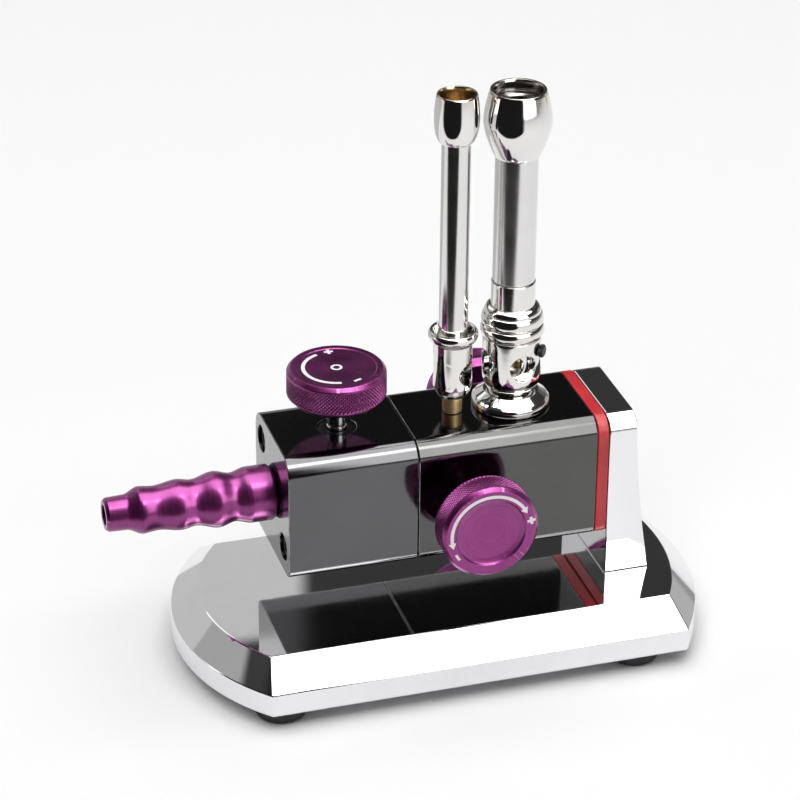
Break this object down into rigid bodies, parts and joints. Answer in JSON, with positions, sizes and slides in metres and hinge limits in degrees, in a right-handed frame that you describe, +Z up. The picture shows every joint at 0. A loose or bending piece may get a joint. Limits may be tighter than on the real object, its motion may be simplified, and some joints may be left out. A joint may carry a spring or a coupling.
{
  "type": "lampwork torch",
  "caption": "Bench gas torch with a slim pilot burner and a larger main burner on a black valve body, cantilevered from a chrome column on a weighted base; dials set the gas flow.",
  "frame": {"origin": "on the standing surface under the middle of the overall size, between the rubber feet", "axes": "+Z up along the burner tubes; +X along the valve body from the hose barb towards the column; -Y is the front, where the pilot valve's knob is"},
  "size_m": [0.1529, 0.0744, 0.1469],
  "materials": {
    "base_chrome": "polished chrome plate",
    "column_chrome": "polished chrome plate",
    "foot_rubber": "matte black moulded rubber",
    "plated_steel": "zinc-plated steel",
    "black_steel": "black-oxide steel",
    "black_anodised": "glossy black anodising with a fine brushed grain",
    "red_spacer": "smooth red heat-insulating spacer",
    "seal_rubber": "black rubber",
    "purple_anodised": "satin purple anodising",
    "stem_steel": "turned bright steel",
    "brass": "turned brass",
    "burner_nickel": "polished nickel plate"
  },
  "bodies": {
    "torch_frame": {"base_plate": "base_chrome", "body_face_seal": "seal_rubber", "burner_block": "black_anodised", "column": "column_chrome", "column_bolt_lower": "black_steel", "column_bolt_upper": "black_steel", "column_screw_back": "plated_steel", "column_screw_front": "plated_steel", "foot_back_left": "foot_rubber", "foot_back_right": "foot_rubber", "foot_front_left": "foot_rubber", "foot_front_right": "foot_rubber", "foot_screw_back_left": "plated_steel", "foot_screw_back_right": "plated_steel", "foot_screw_front_left": "plated_steel", "foot_screw_front_right": "plated_steel", "hose_barb": "purple_anodised", "main_flame_ring": "burner_nickel", "main_flange": "burner_nickel", "main_gland": "stem_steel", "main_jet": "brass", "main_mixer_body": "burner_nickel", "main_stem_seal": "seal_rubber", "main_tip": "burner_nickel", "main_tube": "burner_nickel", "pilot_air_body": "burner_nickel", "pilot_gland": "stem_steel", "pilot_jet": "brass", "pilot_stem_seal": "seal_rubber", "pilot_tip": "burner_nickel", "pilot_tube": "burner_nickel", "red_spacer": "red_spacer", "shutoff_gland": "stem_steel", "shutoff_stem_seal": "seal_rubber", "tie_bolt_lower": "black_steel", "tie_bolt_upper": "black_steel", "valve_block": "black_anodised"},
    "shutoff_dial": {"shutoff_knob": "purple_anodised", "shutoff_stem": "stem_steel", "shutoff_grub_screw": "black_steel"},
    "shutoff_slide": {"shutoff_plug": "brass"},
    "pilot_dial": {"pilot_knob": "purple_anodised", "pilot_stem": "stem_steel", "pilot_grub_screw": "black_steel"},
    "pilot_slide": {"pilot_plug": "brass"},
    "main_dial": {"main_knob": "purple_anodised", "main_stem": "stem_steel", "main_grub_screw": "black_steel"},
    "main_slide": {"main_plug": "brass"},
    "air_regulator": {"main_air_sleeve": "burner_nickel", "main_clamp_screw": "black_steel"}
  },
  "joints": [
    {"name": "shutoff_turn", "type": "hinge", "parent": "torch_frame", "child": "shutoff_dial", "pos_m": [-0.0167, 0.0022, 0.0608], "axis": [0, 0, 1], "range_deg": [0, 200]},
    {"name": "shutoff_lift", "type": "slide", "parent": "torch_frame", "child": "shutoff_slide", "axis": [0, 0, 1], "range_m": [0, 0.00115]},
    {"name": "pilot_turn", "type": "hinge", "parent": "torch_frame", "child": "pilot_dial", "pos_m": [0.0135, -0.0138, 0.0433], "axis": [0, -1, 0], "range_deg": [0, 200]},
    {"name": "pilot_lift", "type": "slide", "parent": "torch_frame", "child": "pilot_slide", "axis": [0, -1, 0], "range_m": [0, 0.00115]},
    {"name": "main_turn", "type": "hinge", "parent": "torch_frame", "child": "main_dial", "pos_m": [0.029, 0.0182, 0.048], "axis": [0, 1, 0], "range_deg": [0, 200]},
    {"name": "main_lift", "type": "slide", "parent": "torch_frame", "child": "main_slide", "axis": [0, 1, 0], "range_m": [0, 0.00115]},
    {"name": "air_sleeve_turn", "type": "hinge", "parent": "torch_frame", "child": "air_regulator", "pos_m": [0.029, 0.0022, 0.0731], "axis": [0, 0, 1], "range_deg": [0, 30]}
  ],
  "couplings": [
    {"joint": "shutoff_lift", "follows": "shutoff_turn", "m_per_rad": 0.00031831},
    {"joint": "pilot_lift", "follows": "pilot_turn", "m_per_rad": 0.00031831},
    {"joint": "main_lift", "follows": "main_turn", "m_per_rad": 0.00031831}
  ]
}
